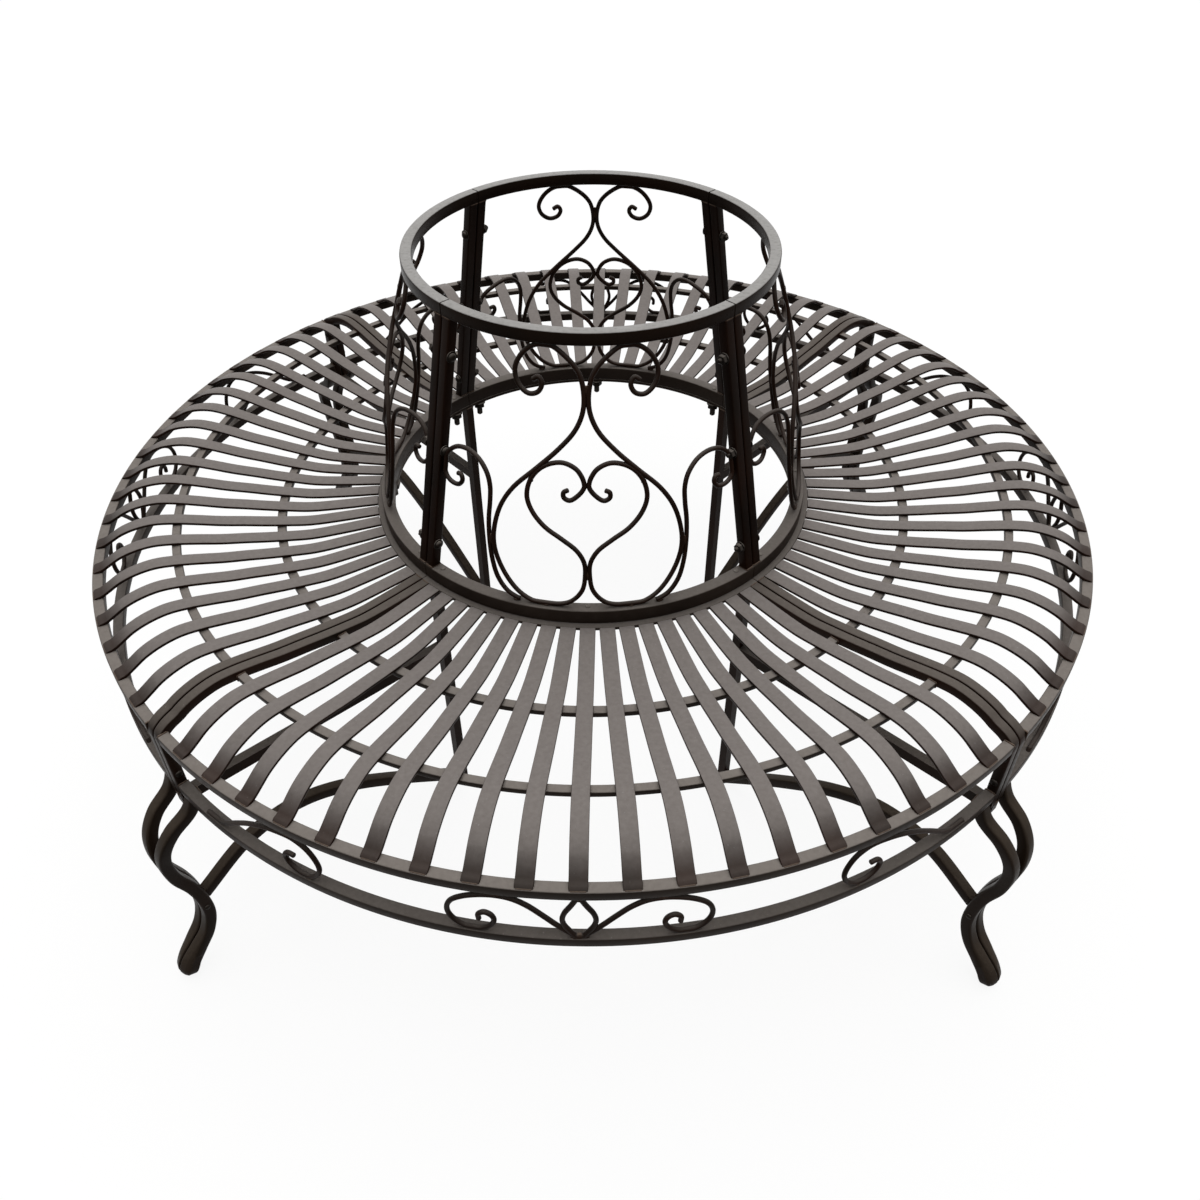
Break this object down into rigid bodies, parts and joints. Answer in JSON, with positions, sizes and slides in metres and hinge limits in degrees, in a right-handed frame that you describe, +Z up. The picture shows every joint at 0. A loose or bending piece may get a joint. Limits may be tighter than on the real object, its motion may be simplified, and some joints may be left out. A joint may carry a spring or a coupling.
{
  "type": "circular tree seat with guard",
  "caption": "Round slatted metal bench on cabriole legs with a tapered scrollwork guard as its backrest, built in bolted quarters to stand round a tree trunk.",
  "frame": {"origin": "on the floor, at the axis of the round seat, where the trunk stands", "axes": "+Z up along the trunk, -Y towards the viewer of the picture; the corners, where two quarters meet, lie at 45 degrees to X and Y"},
  "size_m": [1.3986, 1.3986, 0.804],
  "materials": {
    "coated_steel": "satin dark brown-black powder coat"
  },
  "bodies": {
    "root": {"front_guard_top_rail": "coated_steel", "right_guard_top_rail": "coated_steel", "rear_guard_top_rail": "coated_steel", "left_guard_top_rail": "coated_steel", "front_guard_scroll_panel": "coated_steel", "right_guard_scroll_panel": "coated_steel", "rear_guard_scroll_panel": "coated_steel", "left_guard_scroll_panel": "coated_steel", "front_guard_post_left": "coated_steel", "front_guard_post_right": "coated_steel", "right_guard_post_left": "coated_steel", "right_guard_post_right": "coated_steel", "rear_guard_post_left": "coated_steel", "rear_guard_post_right": "coated_steel", "left_guard_post_left": "coated_steel", "left_guard_post_right": "coated_steel", "front_seat_inner_ring": "coated_steel", "right_seat_inner_ring": "coated_steel", "rear_seat_inner_ring": "coated_steel", "left_seat_inner_ring": "coated_steel", "front_seat_slats": "coated_steel", "right_seat_slats": "coated_steel", "rear_seat_slats": "coated_steel", "left_seat_slats": "coated_steel", "front_slat_support_inner": "coated_steel", "right_slat_support_inner": "coated_steel", "rear_slat_support_inner": "coated_steel", "left_slat_support_inner": "coated_steel", "front_slat_support_outer": "coated_steel", "right_slat_support_outer": "coated_steel", "rear_slat_support_outer": "coated_steel", "left_slat_support_outer": "coated_steel", "front_end_bar_left": "coated_steel", "front_end_bar_right": "coated_steel", "right_end_bar_left": "coated_steel", "right_end_bar_right": "coated_steel", "rear_end_bar_left": "coated_steel", "rear_end_bar_right": "coated_steel", "left_end_bar_left": "coated_steel", "left_end_bar_right": "coated_steel", "front_apron_scroll_panel": "coated_steel", "right_apron_scroll_panel": "coated_steel", "rear_apron_scroll_panel": "coated_steel", "left_apron_scroll_panel": "coated_steel", "front_cabriole_leg_left": "coated_steel", "front_cabriole_leg_right": "coated_steel", "right_cabriole_leg_left": "coated_steel", "right_cabriole_leg_right": "coated_steel", "rear_cabriole_leg_left": "coated_steel", "rear_cabriole_leg_right": "coated_steel", "left_cabriole_leg_left": "coated_steel", "left_cabriole_leg_right": "coated_steel", "front_left_inner_leg": "coated_steel", "front_right_inner_leg": "coated_steel", "rear_right_inner_leg": "coated_steel", "rear_left_inner_leg": "coated_steel", "front_left_stretcher": "coated_steel", "front_right_stretcher": "coated_steel", "rear_right_stretcher": "coated_steel", "rear_left_stretcher": "coated_steel"}
  },
  "joints": []
}
